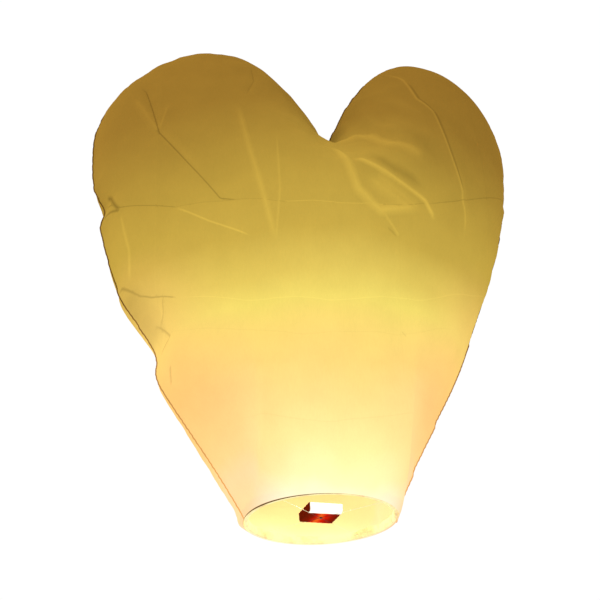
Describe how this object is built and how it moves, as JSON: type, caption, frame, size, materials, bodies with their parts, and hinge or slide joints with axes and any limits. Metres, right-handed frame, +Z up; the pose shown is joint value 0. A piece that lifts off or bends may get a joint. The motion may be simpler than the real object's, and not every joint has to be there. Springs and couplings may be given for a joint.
{
  "type": "sky lantern",
  "caption": "Heart-shaped paper sky lantern with a lapped bamboo hoop, crossed iron wires and a square stack of waxed sheets as its fuel cell",
  "frame": {"origin": "middle of the mouth, on the plane that the hem stands on", "axes": "X across the heart from lobe to lobe, Y front to back with the front at -Y, Z up to the lobes"},
  "size_m": [0.888, 0.474, 1.0639],
  "materials": {
    "rice_paper": "matte",
    "bamboo": "satin",
    "thread": "matte",
    "iron_wire": "satin",
    "waxed_paper": "satin"
  },
  "bodies": {
    "bag": {"front_panel": "rice_paper", "back_panel": "rice_paper", "left_seam": "rice_paper", "right_seam": "rice_paper"},
    "hoop": {"bamboo_hoop": "bamboo", "thread_binding_1": "thread", "thread_binding_2": "thread", "front_hem": "rice_paper", "back_hem": "rice_paper", "cross_wire_lower": "iron_wire", "cross_wire_upper": "iron_wire", "fuel_post": "iron_wire"},
    "fuel": {"fuel_sheet_1": "waxed_paper", "fuel_sheet_2": "waxed_paper", "fuel_sheet_3": "waxed_paper", "fuel_sheet_4": "waxed_paper", "fuel_sheet_5": "waxed_paper", "fuel_sheet_6": "waxed_paper", "fuel_sheet_7": "waxed_paper", "fuel_sheet_8": "waxed_paper"}
  },
  "joints": [
    {"name": "hoop_fold", "type": "hinge", "parent": "bag", "child": "hoop", "pos_m": [0, 0, 0.007], "axis": [1, 0, 0], "range_deg": [0, 90]},
    {"name": "fuel_lift", "type": "slide", "parent": "hoop", "child": "fuel", "axis": [0, 0, 1], "range_m": [0, 0.04]}
  ]
}
